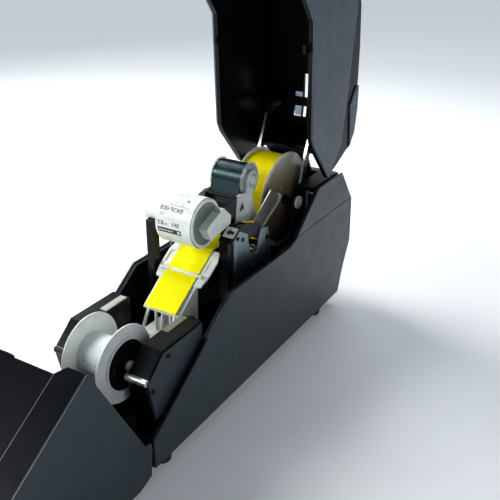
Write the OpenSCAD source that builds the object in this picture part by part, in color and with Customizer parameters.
// Desktop label maker with its hood and front cover standing open.
// Machine frame used by every outline below: X across the width, Y from the front to the
// back, Z up from the underside of the base tray. seat() moves that frame to the part's
// own origin, which lies on the table below the middle of the whole object.

/* [Body] */
// Overall width across the two side panels
body_w = 166; // [162:1:172]
// Thickness of each grey outer panel
panel_t = 3; // [2:0.5:4]
// Thickness of each black inner side wall
wall_t = 5.7; // [4:0.1:5.7]
// Thickness of the base tray's floor
floor_t = 4; // [3:0.5:5]
// Height of the rubber feet
foot_h = 18; // [14:1:22]

/* [Reels] */
// Width of the label tape
tape_w = 50; // [40:1:50]
// Radius of the supply reel's flanges
supply_r = 75; // [66:1:75]
// Radius of the wound label roll
roll_r = 69; // [50:1:70]
// Radius of the rewind reel's flanges
rewind_r = 50; // [40:1:52]
// Radius of the wound ribbon on its supply core
ribbon_r = 23; // [16:1:24]
// Radius of the ribbon take-up cover
takeup_r = 34; // [30:1:34]

/* [Openings] */
// Angle at which the hood stands open
hood_open = 87.2; // [0:0.1:87.2]
// Angle at which the front cover lies open
cover_open = 84; // [0:1:84]

/* [Hidden] */
$fn = 48;
half_w = body_w / 2;
panel_x = half_w - panel_t;      // inner face of the outer panels
wall_x = panel_x - wall_t;       // inner face of the black walls
mid_y = 1.6;                     // middle of the open machine, front to back
tape_x = tape_w / 2;
flange_x = tape_x + 0.4;         // inner face of every reel flange
flange_t = 1.8;
slide_gap = 0.3;                 // air between parts that pass each other
run_gap = 0.05;                  // radial clearance of a running fit

// Points of the body's side outline, in Y and Z
knee = [0, 160.6];               // where the front slope meets the level edge
bend = [159, 160];
step = [178.5, 166.6];
crown = [250, 224];
heel = [335, 224];
tail = [381, 165];
front_y = -175;                  // face of the front wall
slope = knee[1] / 236.3;         // fall of the front slope, per unit of Y
front_z = knee[1] + slope * front_y;
seam_z = 168;                    // joint between the lower and the upper side panel

// Pivots, in Y and Z
hood_pivot = [267.5, 207];
cover_pivot = [-187, 36];
supply_axis = [241, 198];
rewind_axis = [-154, 119];
nose_axis = [-167.8, 115.2];     // rod in the arms' front edge
takeup_axis = [18, 239];
ribbon_axis = [138, 262];
platen_axis = [100, 176];
head_pivot = [142, 178];
switch_axis = [376.6, 120];

// Gears: teeth, and the module that sets their size
gear_m = 1;
platen_teeth = 40;
rewind_teeth = 12;
pinion_teeth = 10;
platen_mesh = (platen_teeth + pinion_teeth) / 2 * gear_m + 0.2;
rewind_mesh = (rewind_teeth + pinion_teeth) / 2 * gear_m + 0.2;
rewind_drive = rewind_axis + [rewind_mesh, 0];
feed_drive = platen_axis - [0, platen_mesh];

// Machine frame to part frame
module seat() { translate([0, -mid_y, foot_h]) children(); }
// Turn what is drawn shut to where the hood stands
module hood_up() {
    seat() translate([0, hood_pivot[0], hood_pivot[1]]) rotate([-hood_open, 0, 0])
        translate([0, -hood_pivot[0], -hood_pivot[1]]) children();
}
// Turn what is drawn shut to where the front cover lies
module cover_down() {
    seat() translate([0, cover_pivot[0], cover_pivot[1]]) rotate([cover_open, 0, 0])
        translate([0, -cover_pivot[0], -cover_pivot[1]]) children();
}
// Side outline in Y and Z, drawn out across X from x0 to x1
module across(x0, x1) {
    translate([x0, 0, 0]) rotate([90, 0, 90]) linear_extrude(x1 - x0) children();
}
// Round bar along X
module bar(x0, x1, at, r) {
    translate([x0, at[0], at[1]]) rotate([0, 90, 0]) cylinder(h = x1 - x0, r = r);
}
// Box by its two corners
module block(a, b) { translate(a) cube(b - a); }
// The same shape on the right and on the left
module both() { children(); mirror([1, 0, 0]) children(); }
// Ring along X
module ring(x0, x1, at, r_out, r_in) {
    difference() {
        bar(x0, x1, at, r_out);
        bar(x0 - 1, x1 + 1, at, r_in);
    }
}
// Spur gear outline with straight-sided teeth, first tooth on +X
module gear_outline(teeth) {
    pitch = teeth * gear_m / 2;
    root = pitch - 1.25 * gear_m;
    tip = pitch + 0.9 * gear_m;
    turn = 360 / teeth;
    circle(r = root + 0.02, $fn = 64);
    for (i = [0:teeth - 1]) rotate(i * turn)
        polygon([[root * cos(turn * 0.3), -root * sin(turn * 0.3)],
            [tip, -gear_m * 0.3], [tip, gear_m * 0.3],
            [root * cos(turn * 0.3), root * sin(turn * 0.3)]]);
}
// Gear along X, turned so that its first tooth points at the given angle
module gear(x0, x1, at, teeth, phase, bore_r) {
    translate([x0, at[0], at[1]]) rotate([90, 0, 90]) difference() {
        linear_extrude(x1 - x0) rotate(phase) gear_outline(teeth);
        translate([0, 0, -1]) cylinder(h = x1 - x0 + 2, r = bore_r);
    }
}

// ---- base and body ----
module body_outline() {
    polygon([[front_y, 0], [346, 0], [363, 45], [385, 86], tail, heel, crown, step,
        bend, knee, [front_y, front_z]]);
}
module base_tray() {
    color("#1b1c1e") seat() difference() {
        union() {
            block([-wall_x, front_y, 0], [wall_x, 343, floor_t]);
            block([-wall_x, front_y, 0], [wall_x, front_y + 4, front_z - 2]);
            for (y = [-58, 66, 190]) block([-30, y, 0], [30, y + 3, 12]);
            both() hull() {
                bar(60, 68, cover_pivot, 7);
                block([60, front_y, 34], [68, front_y + 1, 43]);
            }
        }
        bar(-wall_x, wall_x, cover_pivot, 2.5 + run_gap);
        for (y = [204:14:316]) block([-30, y, -1], [30, y + 6, floor_t + 1]);
        for (y = [-34:12:38]) block([-56, y, -1], [-20, y + 5, floor_t + 1]);
    }
}
module side_wall() {
    difference() {
        across(wall_x, panel_x - 0.01) intersection() {
            body_outline();
            polygon([[front_y, 0], [345, 0], [362, 45], [381.5, 86], [378, 163],
                [333, 221], [251, 221], step + [1, -2.4], bend + [0, -2],
                knee + [-1, -2], [front_y, front_z - 2.6]]);
        }
        bar(wall_x - 1, half_w, hood_pivot, 4);
    }
}
module side_walls() { color("#17181a") seat() both() side_wall(); }
module side_panel() {
    across(panel_x, half_w) difference() {
        body_outline();
        polygon([[181.5, seam_z], [400, seam_z], [400, 300], [100, 300], [100, 160.3],
            bend, step + [0, 0.6]]);
    }
}
module side_panels() { color("#474d52") seat() both() side_panel(); }
module upper_panel() {
    across(panel_x, half_w) intersection() {
        body_outline();
        polygon([[181.8, seam_z + 0.7], [400, seam_z + 0.7], [400, 300], [181.8, 300]]);
    }
}
module upper_panels() { color("#50565c") seat() both() upper_panel(); }
module rear_cover() {
    color("#17181a") seat() difference() {
        across(-wall_x + 0.02, wall_x - 0.02) polygon([[343.2, 0], [346, 0], [363, 45],
            [385, 86], tail, heel, [335, 220.8], [332, 220.8], [377.5, 163.5],
            [381.8, 87], [360, 46.5], [343.2, 4]]);
        block([-40, 360, 128], [-14, 400, 146]);
        block([53.7, 360, 128.7], [66.3, 400, 141.3]);
        block([34.6, 360, 108], [46.4, 400, 132.5]);
        for (i = [0:5]) block([-46 + 15 * i, 338, 190], [-38 + 15 * i, 378, 206]);
    }
}
module top_deck() {
    color("#1a1b1d") seat() {
        difference() {
            block([-wall_x + 0.02, 250.5, 220.8], [wall_x - 0.02, 335, heel[1]]);
            block([-46, 240, 200], [46, 320, 240]);
        }
        // hump behind the reel
        intersection() {
            ring(-34, 34, supply_axis, supply_r + 9, supply_r + 4);
            block([-34, 290, 221], [34, 330, 300]);
        }
    }
}
module rubber_feet() {
    color("#0e0f10") seat() for (y = [-140, 285]) both()
        translate([64, y, -foot_h]) cylinder(h = foot_h, r1 = 12, r2 = 15);
}

// ---- arms that carry the rewind reel ----
arm_in = 43;
arm_out = 71.4;
bush_r = 6.6;                    // outer radius of the spindle's bushes
journal_r = 4.5;                 // spindle radius inside the bushes
nose_r = 4.5;                    // radius of the rod in the arms' front edge
module arm_outline(back) {
    polygon([[back, 60], [back, 144], [-138, 144], [-171, 116], [-160, 62]]);
}
module arm_box() {
    difference() {
        union() {
            across(arm_in, arm_out) arm_outline(-57);
            block([arm_in, -160, floor_t], [arm_out, -71, 62]);
        }
        across(arm_in + 3, arm_out - 3)
      polygon([[-150, floor_t - 1], [-150, 128], [-140, 137], [-78, 138], [-78, floor_t - 1]]);
        bar(arm_in - 1, arm_out + 1, rewind_axis, bush_r);
        bar(57, arm_out - 3, rewind_axis, 7.6);
        bar(arm_in - 1, arm_out + 1, nose_axis, nose_r);
    }
}
module right_arm() { color("#1d1f22") seat() arm_box(); }
module left_arm() {
    color("#1d1f22") seat() mirror([1, 0, 0]) arm_box();
}
module arm_plate() {
    difference() {
        across(arm_out + 0.02, 73.2) polygon([[-57, 58], [-57, 140.5], [-137, 140.5],
            [-168, 114], [-157, 58]]);
        for (at = arm_holes) bar(70, 75, at, 1.6);
    }
}
module arm_plates() { color("#4a5157") seat() both() arm_plate(); }
// Socket-head screw along X, its head standing on the face at x
module screw(x, at, r) {
    difference() {
        union() {
            bar(x - 1.7, x + 0.05, at, r);
            bar(x, x + 1.4, at, 2 * r);
        }
        translate([x + 0.6, at[0], at[1]]) rotate([0, 90, 0])
            cylinder(h = 2, r = r * 0.9, $fn = 6);
    }
}
arm_holes = [[-128, 132], [-160, 100]];
plate_holes = [[60, 206], [73, 200], [144, 152]];
module screws() {
    color("#0b0c0d") seat() both() {
        for (at = arm_holes) screw(73.2, at, 1.6);
        for (at = plate_holes) screw(53.5, at, 1.5);
    }
}
module grip_strips() {
    color("#8d8f72") seat() both() {
        block([44, -102, 144], [54.5, -61, 145]);
        for (i = [0:17]) block([44.6, -101.4 + 2.2 * i, 144.9], [53.9, -100.3 + 2.2 * i, 145.8]);
    }
}

// ---- rewind reel ----
module rewind_reel() {
    color("#eceae2") seat() difference() {
        union() {
            bar(-flange_x, flange_x, rewind_axis, 24);
            both() bar(flange_x - 0.02, flange_x + flange_t, rewind_axis, rewind_r);
            ring(flange_x + flange_t - 0.02, flange_x + 5, rewind_axis, 34, 32);
        }
        bar(-60, 60, rewind_axis, 20);
        ring(flange_x - 0.01, flange_x + 1.2, rewind_axis, 46, 44);
    }
}
module core_label() {
    color("#d6e6e8") seat() ring(-flange_x + 0.5, flange_x - 0.5, rewind_axis, 26.5, 24);
}
module rewind_hub() {
    color("#0c0c0e") seat() difference() {
        union() {
            bar(-flange_x - 5, flange_x + 5, rewind_axis, 20);
            bar(flange_x + flange_t, flange_x + 5, rewind_axis, 31.5);
            ring(flange_x + 4.9, flange_x + 8, rewind_axis, 29, 24);
            bar(flange_x + 4.9, flange_x + 8.6, rewind_axis, 12);
        }
        bar(-60, 60, rewind_axis, 6);
        for (a = [0:60:300]) translate([flange_x + 3, rewind_axis[0], rewind_axis[1]])
            rotate([a, 0, 0]) translate([0, 18, 0]) rotate([0, 90, 0]) cylinder(h = 3, r = 4);
    }
}
module rewind_spindle() {
    color("#d5d8da") seat() {
        bar(-71.3, 71.3, rewind_axis, journal_r);
        bar(-41, 41, rewind_axis, 6);
        bar(34.1, 42.5, rewind_axis, 7);
    }
}
module nose_rods() {
    color("#d5d8da") seat() both() bar(arm_in - 2.5, arm_out, nose_axis, nose_r);
}
module spindle_bushes() {
    color("#b49155") seat() both() {
        ring(arm_in, arm_in + 3, rewind_axis, bush_r, journal_r + run_gap);
        ring(arm_out - 3, arm_out, rewind_axis, bush_r, journal_r + run_gap);
    }
}
module rewind_gear() {
    color("#e8e4d6") seat() gear(-64, -58, rewind_axis, rewind_teeth, 0, journal_r);
}
module rewind_motor() {
    color("#9da1a4") seat() difference() {
        bar(-56.5, -46.1, rewind_drive, 6.2);
        bar(-57, -48, rewind_drive, 1 + run_gap);
    }
}
module rewind_pinion() {
    color("#c9a24a") seat() {
        gear(-64, -58, rewind_drive, pinion_teeth, 180 + 18, 1);
        bar(-65, -48.05, rewind_drive, 1);
    }
}

// ---- supply reel ----
module reel_stand() {
    color("#202225") seat() both() difference() {
        union() {
            across(46, 50) polygon([[216, floor_t], [268, floor_t], [252, 203], [230, 203]]);
            block([34, 210, floor_t], [56, 274, 8]);
        }
        bar(40, 60, supply_axis, 6 + run_gap);
        block([40, supply_axis[0] - 4.8, supply_axis[1]], [60, supply_axis[0] + 4.8, 230]);
    }
}
module supply_spindle() {
    color("#f1efe8") seat() difference() {
        union() {
            bar(-54, 54, supply_axis, 6);
            bar(-31, 31, supply_axis, 8);
            both() bar(50.3, 54, supply_axis, 10);
        }
        both() bar(51.5, 55, supply_axis, 5.5);
    }
}
module supply_core() {
    color("#b7a078") seat() ring(-tape_x, tape_x, supply_axis, 20, 8);
}
module label_roll() {
    color("#ffe600") seat() ring(-tape_x, tape_x, supply_axis, roll_r, 20);
}
module supply_flanges() {
    color("#e9e2c4") seat() both() difference() {
        bar(flange_x, flange_x + flange_t, supply_axis, supply_r);
        bar(20, 40, supply_axis, 8);
    }
}

// ---- label path ----
ramp_low = [-46, 129.5];
ramp_mid = [0, 161.5];
ramp_top = [42, 187];
tape_t = 0.5;
tape_start = [-49, 133];
tape_mid = [0, 164.3];
tape_lip = [42, 189.3];
tape_clear = 10.6;               // from the platen's axis to the tape
tape_head = platen_axis + [0, tape_clear];
tape_back = platen_axis + tape_clear * [sin(27), cos(27)];
// Point where a line from p touches a circle of radius r about c, on its lower side
function touch(p, c, r) =
    let (d = c - p, l = norm(d), a = atan2(d[1], d[0]) - asin(r / l), t = sqrt(l * l - r * r))
    p + t * [cos(a), sin(a)];
tape_end = touch(tape_back, supply_axis, roll_r + tape_t + slide_gap);
module label_tape() {
    up = [0, tape_t];
    color("#ffee00") seat() across(-tape_x, tape_x) polygon([tape_start, tape_mid, tape_lip,
        tape_head, tape_back, tape_end, tape_end + up, tape_back + up, tape_head + up,
        tape_lip + up, tape_mid + up, tape_start + up]);
}
module media_cassette() {
    ear = [[26, -8], [37, -6], [40.2, 8], [40.2, 30], [36, 42], [26, 42]];
    color("#f3f3ee") seat() difference() {
        union() {
            across(-28, 28) polygon([ramp_low, ramp_mid, ramp_top, ramp_top - [0, 3],
                ramp_mid - [0, 3], ramp_low - [0, 2.6]]);
            both() intersection() {
                linear_extrude(220) polygon(ear);
                across(25, 41) polygon([[-9, 157], [0, 162.5], [43, 189], [43, 186],
                    [0, 159.5], [-9, 154]]);
            }
            both() across(28, 30) polygon([[-46, 129], [0, 161.5], [42, 187], [42, 182],
                [-4, 154], [-4, 96], [-8, 96], [-8, 152]]);
            both() across(27, 28.4) polygon([[-40, 129], [-7, 152], [-7, 112], [-10, 112]]);
            both() across(27, 30) polygon([[-8, 150], [-38, 131], [-8, 104], [-8, 100],
                [-46, 128], [-8, 155]]);
            block([-28, -70, 94], [28, 0, 97]);
            both() across(20, 23) polygon([[-42, 129], [-46, 129], [-66, 97], [-61, 97]]);
            for (x = [-12, 0, 12]) across(x - 1, x + 1) polygon([[-40, 130], [-44, 130],
                [-50 + abs(x) / 2, 97], [-46 + abs(x) / 2, 97]]);
        }
        both() across(30.5, 36) polygon([[12, 168.6], [30, 179.7], [30, 200], [12, 200]]);
    }
    color("#f3f3ee") seat() both() block([24, -30, floor_t], [28, -4, 94.01]);
}
module guide_bar() {
    color("#e6efe6") seat() {
        bar(-34, 34, tape_mid + [1, 4.4], 2.2);
        both() block([31, -1, 165.2], [34, 3, 168]);
    }
}

// ---- print frame ----
module frame_posts() {
    color("#131416") seat() {
        across(40.5, 51.4) polygon([[38, floor_t], [50, floor_t], [50, 140], [64, 150],
            [64, 220], [60, 223.9], [38, 208.9]]);
        across(37.6, 40.6) polygon([[38, floor_t], [46, floor_t], [46, 212], [38, 208]]);
        across(36.5, 57.5) polygon([[38, 209], [60, 224], [61.7, 221.5], [39.7, 206.5]]);
        across(44.6, 51.4) polygon([[63.9, 192], [63.9, 218], [100, 214], [126, 204], [126, 192]]);
        difference() {
            across(-54.4, -43.5) polygon([[-1, floor_t], [13, floor_t], [13, 230],
                [9, 234], [-1, 232]]);
            bar(-60, -30, takeup_axis, 12.3);
        }
        block([-51.4, 12.9, floor_t], [-48, 60, 60]);
    }
}
plate_outline = [[50, 120], [50, 213.3], [60.5, 220.4], [62.3, 216.4], [87, 203],
    [90, 177], [96, 171], [112, 169], [122, 198], [143, 193.5], [153, 158], [153, 120]];
module guide_plate() {
    difference() {
        across(51.5, 53.5) polygon(plate_outline);
        bar(50, 55, platen_axis, 6);
        bar(50, 55, head_pivot, 4 + run_gap);
        bar(50, 55, feed_drive, 3);
        for (at = plate_holes) bar(50, 55, at, 1.5);
    }
    block([51.5, 60, floor_t], [53.5, 140, 120.01]);
}
module guide_plates() {
    color("#8c969b") seat() both() guide_plate();
}
module platen_roller() {
    color("#3b3d40") seat() ring(-27, 27, platen_axis, 10, 5);
}
module platen_shaft() {
    color("#cfd3d6") seat() {
        bar(-64, 57, platen_axis, 5);
        both() ring(51.4, 53.6, platen_axis, 5.95, 5);
    }
}
module platen_gear() {
    color("#e8e4d6") seat() gear(-63, -57, platen_axis, platen_teeth, -90, 5);
}
module feed_motor() {
    color("#8f9396") seat() {
        difference() {
            block([-49, feed_drive[0] - 13, feed_drive[1] - 13],
                [-24, feed_drive[0] + 13, feed_drive[1] + 13]);
            bar(-50, -40, feed_drive, 1.6);
        }
        difference() {
            bar(-51.5, -48.98, feed_drive, 8);
            bar(-55, -40, feed_drive, 1.6);
        }
    }
}
module feed_pinion() {
    color("#c9a24a") seat() {
        gear(-63, -57, feed_drive, pinion_teeth, 90 + 18, 1.5);
        bar(-64, -40.05, feed_drive, 1.5);
    }
}

// ---- printhead on its lifting bracket ----
module printhead() {
    color("#d8d4c6") seat() across(-24, 24) polygon([[97, 191], [110, 190.5], [114, 201],
        [100, 202]]);
}
module head_bracket() {
    color("#a9adb0") seat() {
        across(-24, 24) polygon([[100, 202.02], [114, 201.02], [126, 194], [129, 197],
            [116, 205], [100, 206]]);
        both() difference() {
            union() {
                across(20, 24) polygon([[124, 196], [131, 198], [146, 184], [136, 174]]);
                bar(20, 24, head_pivot, 7.5);
            }
            bar(18, 26, head_pivot, 4);
        }
        bar(-56, 56, head_pivot, 4);
    }
}
module head_lever() {
    color("#c3c6c4") seat() difference() {
        union() {
            across(38.4, 40) polygon([[126, 205], [174, 237], [197, 225], [201, 221],
                [196, 214], [150, 191.4], [150, 172], [135, 172], [133, 196]]);
            across(39.9, 43.6) polygon([[201, 221], [196, 214], [146, 189.6], [145, 191.4],
                [195, 215.8], [199, 221.6], [193, 225], [194, 226.6]]);
        }
        bar(30, 40, head_pivot, 4);
    }
}

// ---- ribbon cartridge ----
module takeup_cover() {
    color("#f4f4f2") seat() difference() {
        union() {
            bar(-26, 29, takeup_axis, takeup_r);
            bar(-62.5, -25.9, takeup_axis, 12);
        }
        bar(-23, 26, takeup_axis, takeup_r - 3);
        across(-22, 25) polygon([[24, 206], [60, 190], [60, 222], [46, 232]]);
        bar(-63, -50, takeup_axis, 9);
    }
}
module takeup_core() {
    color("#3a3d40") seat() {
        bar(-22.5, 25.5, takeup_axis, 9);
        bar(-22.6, -21.8, takeup_axis, 24);
        bar(24.8, 25.6, takeup_axis, 24);
        bar(-20, 23, takeup_axis, 15);
    }
}
module drive_block() {
    color("#f0eee4") seat() across(29.02, 42) polygon([[3, 236], [9, 241], [44, 254],
        [62, 238], [60, 226], [14, 219]]);
    color("#7b8184") seat() ring(29.02, 31, takeup_axis, takeup_r - 1, takeup_r - 5);
}
module cartridge_sides() {
    color("#e9ecea") seat() both() difference() {
        union() {
            across(26.4, 29) polygon([[94, 213], [153, 194], [140, 238], [148, 262],
                [138, 272], [127, 262], [122, 248], [99, 250]]);
            bar(25.3, 29.8, ribbon_axis, 14);
        }
        across(20, 40) polygon([[104, 224], [112, 238], [118, 226]]);
        bar(20, 29, ribbon_axis, 6 + run_gap);
    }
}
module cartridge_frame() {
    color("#111214") seat() {
        both() difference() {
            across(26.4, 28.6) polygon([[40, 213], [93.9, 213], [98.8, 249.8], [52, 240],
                [40, 226]]);
            bar(0, 40, takeup_axis, takeup_r + 0.02);
        }
        for (at = [[62, 232], [84, 243], [104, 244]]) bar(-26.4, 26.4, at, 2);
        across(-26.4, 26.4) polygon([[56, 214], [66, 214], [66, 217], [56, 217]]);
        both() across(25.2, 26.38) polygon([[100, 220], [122, 220], [120, 243], [99, 243]]);
    }
}
module ribbon_supply() {
    color("#101314") seat() {
        bar(-24.4, 24.4, ribbon_axis, ribbon_r);
        bar(-28.5, 28.5, ribbon_axis, 6);
        both() bar(24.38, 25.1, ribbon_axis, 26);
    }
}
module ribbon_film() {
    film = 0.4;
    start = [ribbon_axis[0] - ribbon_r - 0.9, ribbon_axis[1] + 2];
    color("#0d0e10") seat() across(-24, 24) polygon([start, [96.5, 204], [95, 188.4],
        [99, 187.6], [99, 188], [95.5, 188.9], [97, 204], start + [film, -1]]);
}

// ---- hinge pins ----
module hinge_pins() {
    color("#c8ccd0") seat() both() bar(37, panel_x - 0.02, hood_pivot, 4);
}
module hinge_brackets() {
    color("#202225") seat() both() difference() {
        across(57.5, 61) polygon([[240, floor_t], [296, floor_t], [280, 214], [256, 214]]);
        bar(50, 70, hood_pivot, 4);
    }
}

// ---- hood, drawn shut ----
hood_roof = [[245, 222.5], [233, 259], [227, 303], [205, 328], [163, 338], [60, 341],
    [0, 338], [-60, 320], [-131, 252], [-37, 136.5], [0, 125], [200, 135]];
hood_side = [[245, 222.5], [233, 259], [218, 298], [197, 317], [160, 325], [60, 328],
    [0, 325], [-54, 308], [-120, 244], [-37, 136.5], [0, 125], [200, 135]];
// Everything that the shut hood must stay above
hood_floor = [[-36.4, 136.8], [-0.4, 162], [161.6, 162], [177, 168.4], [244.4, 222.6],
    [300, 267], [400, -100], [-600, -100], [-600, 445], [-290, 445]];
module hood_form(grow) {
    hull() {
        across(-panel_x - grow, panel_x + grow) polygon(hood_side);
        across(-68 - grow, 68 + grow) offset(delta = grow) polygon(hood_roof);
    }
}
module hood_shell() {
    color("#101113") hood_up() difference() {
        hood_form(0);
        hull() {
            across(-74, 74) polygon([[232, 60], [222, 262], [211, 294], [192, 311],
                [158, 319], [60, 322], [0, 319], [-50, 302], [-126, 230], [-150, 60]]);
            across(-62, 62) polygon([[232, 60], [227, 262], [222, 300], [202, 323],
                [162, 333], [60, 336], [0, 333], [-58, 315], [-135, 241], [-150, 60]]);
        }
        across(-90, 90) polygon(hood_floor);
        block([-73.9, 215, 200], [73.9, 260, 278]);
        block([-36, 149, 320], [-21, 190, 350]);
        block([-19, 118, 320], [-12, 190, 350]);
    }
}
module hood_skin(thick) {
    intersection() {
        difference() {
            hood_form(thick);
            hood_form(0.02);
        }
        across(63, half_w + 1) children();
    }
}
module hood_side_panels() {
    color("#596069") hood_up() both() difference() {
        hood_skin(panel_t) polygon([[244, 222.8], [205, 265], [113, 286], [0, 307],
            [-48, 300], [-112, 240], [-36, 138], [0, 150], [200, 150]]);
        across(40, 90) polygon(hood_floor);
        block([40, -200, 100], [panel_x, 300, 400]);
    }
}
module hood_trims() {
    color("#50575f") hood_up() both() hood_skin(2.4) polygon([[219, 300], [147, 296],
        [122, 318], [126, 345], [163, 345], [207, 330], [240, 310]]);
}
module hood_window() {
    color([0.12, 0.16, 0.2, 0.6]) hood_up() block([-36, 149, 334], [-21, 190, 336]);
}
module hood_arms() {
    // Goose-necks from the pivots to a rail under the roof, with the latch hooks
    color("#0f1011") hood_up() {
        both() difference() {
            union() {
                across(39.5, 43.5) polygon([[263, 200], [256, 204], [241, 209.5],
                    [227, 213], [163, 246], [150, 260], [150, 326], [158, 326],
                    [162, 268], [170, 257], [232, 225], [250, 225], [268, 216]]);
                bar(38.5, 55, hood_pivot, 9);
            }
            bar(30, 60, hood_pivot, 4 + run_gap);
        }
        block([-58, 154, 318], [58, 168, 325]);
        both() block([39, 154, 324.9], [58, 166, 331]);
        both() across(70, 73.98) polygon([[18, 200], [40, 200], [40, 152], [28, 152],
            [28, 156], [32, 160], [32, 170], [18, 176]]);
    }
}

// ---- front cover, drawn shut ----
seam_turn = 129.5;                // the seam with the hood rises forward at this angle
seam_dir = [cos(seam_turn), sin(seam_turn)];
seam_in = [-sin(seam_turn), cos(seam_turn)];
seam_low = [-39, 134.8];
seam_length = 147;
cover_top = seam_low + seam_length * seam_dir;
cover_wall = 5;
channel_x = 45;                  // half width of the label channel in the seam face
channel_drop = 11;               // how far the channel's rim lies below the cheeks
cover_outline = [seam_low, cover_top, [-205, 212], [-236, 165], [-241, 110], [-237, 50],
    [-227, 28], [-187, 28], [-181, 29.5], [-178.6, 34], [-179, 41], [-172, 45]];
// Draw in the seam face: X, distance along the seam, depth into the cover
module on_seam() {
    translate([0, seam_low[0], seam_low[1]]) rotate([seam_turn, 0, 0]) children();
}
module cover_form() {
    difference() {
        across(-panel_x + 0.02, panel_x - 0.02) polygon(cover_outline);
        across(-76, 76) polygon([seam_low + cover_wall * seam_in - 8 * seam_dir,
            cover_top + cover_wall * seam_in - 4 * seam_dir, [-203, 206], [-232, 163],
            [-237, 110], [-233, 51], [-225, 32], [-192, 32], [-192, 38], [-150, 20]]);
        // label channel: a shallow band with a rim that is cut lower than the cheeks
        on_seam() translate([-channel_x, channel_drop - 1, -9])
            cube([2 * channel_x, 2 * seam_length, 11]);
        on_seam() translate([0, 0, -5]) linear_extrude(15) polygon([[-56, -20], [-56, 0],
            [-47, 9], [-16, 9], [-14, channel_drop], [channel_x, channel_drop], [56, 0],
            [56, -20]]);
        both() bar(59, 69, cover_pivot, 9.5);
        bar(-half_w, half_w, cover_pivot, 2.5);
    }
}
module front_cover_shell() {
    color("#121315") cover_down() cover_form();
}
module cover_pins() {
    color("#c8ccd0") cover_down() both() bar(57.5, panel_x - 0.02, cover_pivot, 2.5);
}
module front_cover_panels() {
    color("#3f464d") cover_down() both() across(panel_x, half_w) polygon(cover_outline);
}

// ---- electrics ----
module power_inlet() {
    color("#0c0c0d") seat() {
        difference() {
            block([-39.5, 360, 128.4], [-14.5, 381.4, 145.6]);
            block([-36, 369, 131], [-18, 390, 143]);
        }
        for (x = [-32, -27, -22]) block([x - 1, 368.9, 136], [x + 1, 378, 138.5]);
    }
}
module power_switch() {
    color("#1f2123") seat() {
        across(35, 46) polygon([[375, 112], [381.5, 110.5], [384.4, 120], [385.4, 129.2],
            [375, 128]]);
        both_ends = [33, 45.98];
        for (x = both_ends) bar(x, x + 2.02, switch_axis, 2.5);
    }
}
module power_supply() {
    color("#a8acae") seat() difference() {
        block([-70, 146, floor_t], [-38, 202, 44]);
        for (y = [152:10:192]) block([-71, y, 12], [-68.5, y + 4, 38]);
    }
}
module main_board() {
    board_x = 66;
    color("#2f6b45") seat() {
        block([board_x, 160, 84], [board_x + 1.6, 368, 150]);
        for (y = [168, 358]) for (z = [92, 142])
            bar(board_x + 1.59, wall_x - 0.01, [y, z], 3);
        block([54, 362, 129], [board_x + 0.01, 381.4, 141]);
        block([board_x - 3, 180, 104], [board_x + 0.01, 202, 126]);
        block([board_x - 2.4, 214, 112], [board_x + 0.01, 226, 124]);
        for (y = [306, 318, 330]) bar(board_x - 9, board_x + 0.01, [y, 100], 4);
    }
}

base_tray();
side_walls();
side_panels();
upper_panels();
rear_cover();
top_deck();
rubber_feet();
right_arm();
left_arm();
arm_plates();
grip_strips();
screws();
main_board();
power_supply();
power_inlet();
power_switch();
rewind_reel();
core_label();
rewind_hub();
rewind_spindle();
nose_rods();
spindle_bushes();
rewind_gear();
rewind_motor();
rewind_pinion();
reel_stand();
supply_spindle();
supply_core();
label_roll();
supply_flanges();
media_cassette();
guide_bar();
label_tape();
frame_posts();
guide_plates();
platen_roller();
platen_shaft();
platen_gear();
feed_motor();
feed_pinion();
printhead();
head_bracket();
head_lever();
takeup_cover();
takeup_core();
drive_block();
cartridge_sides();
cartridge_frame();
ribbon_supply();
ribbon_film();
hinge_pins();
hinge_brackets();
hood_shell();
hood_side_panels();
hood_trims();
hood_window();
hood_arms();
front_cover_shell();
front_cover_panels();
cover_pins();
